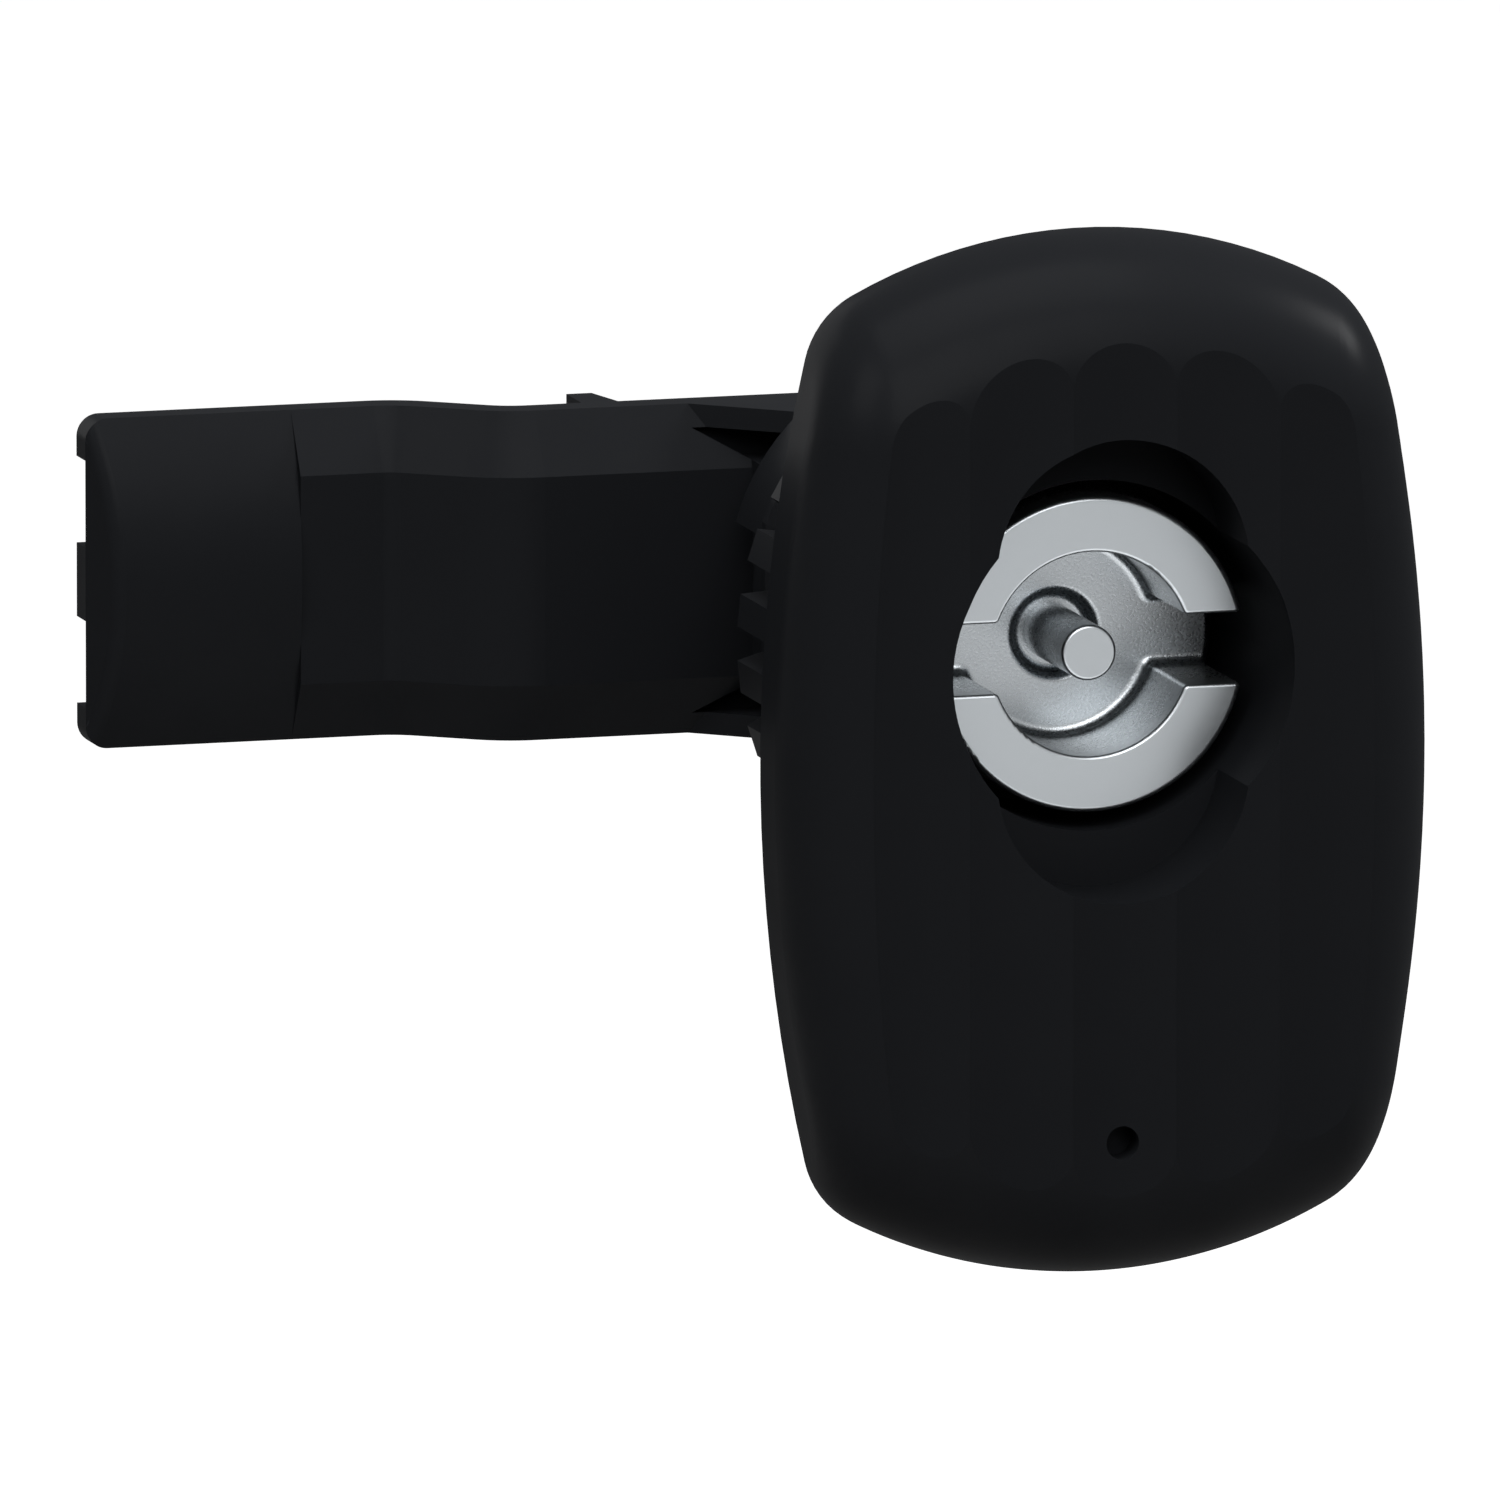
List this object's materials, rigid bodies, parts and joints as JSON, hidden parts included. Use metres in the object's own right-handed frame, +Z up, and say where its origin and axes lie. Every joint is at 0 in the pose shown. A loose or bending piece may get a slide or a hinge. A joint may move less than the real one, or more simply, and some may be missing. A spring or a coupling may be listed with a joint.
{
  "type": "quarter-turn cam lock",
  "caption": "Quarter-turn cam lock for an enclosure door: moulded escutcheon, double-bit key insert, ring nut and long cranked cam arm.",
  "frame": {"origin": "on the lock axis, in the plane of the door's outer face, where the back of the escutcheon rests", "axes": "+Y along the lock axis into the enclosure, +Z up along the escutcheon, +X to the right seen from outside; the cam arm points to -X when locked"},
  "size_m": [0.0633, 0.0464, 0.056],
  "materials": {
    "housing_plastic": "satin, fine moulded grain",
    "cam_plastic": "satin",
    "nut_plastic": "satin",
    "insert_zinc": "satin, die-cast and plated",
    "steel_plated": "zinc plated",
    "gasket_rubber": "matt",
    "seal_rubber": "matt"
  },
  "bodies": {
    "housing": {"front_housing": "housing_plastic", "face_gasket": "gasket_rubber", "disc_spring": "steel_plated"},
    "washer": {"slip_washer": "steel_plated"},
    "nut": {"fixing_nut": "nut_plastic"},
    "rotor": {"key_insert": "insert_zinc", "shaft_seal": "seal_rubber", "retaining_clip": "steel_plated", "stop_disc": "steel_plated", "cam_arm": "cam_plastic", "cam_washer": "steel_plated", "split_washer": "steel_plated", "cam_screw": "steel_plated"}
  },
  "joints": [
    {"name": "key_turn", "type": "hinge", "parent": "housing", "child": "rotor", "pos_m": [0, 0, 0], "axis": [0, 1, 0], "range_deg": [0, 90]},
    {"name": "nut_travel", "type": "slide", "parent": "housing", "child": "washer", "axis": [0, 1, 0], "range_m": [0, 0.012]},
    {"name": "nut_spin", "type": "hinge", "parent": "washer", "child": "nut", "pos_m": [0, 0, 0], "axis": [0, 1, 0], "range_deg": [0, 1440]}
  ],
  "couplings": [
    {"joint": "nut_spin", "follows": "nut_travel", "rad_per_m": 2094.4}
  ]
}
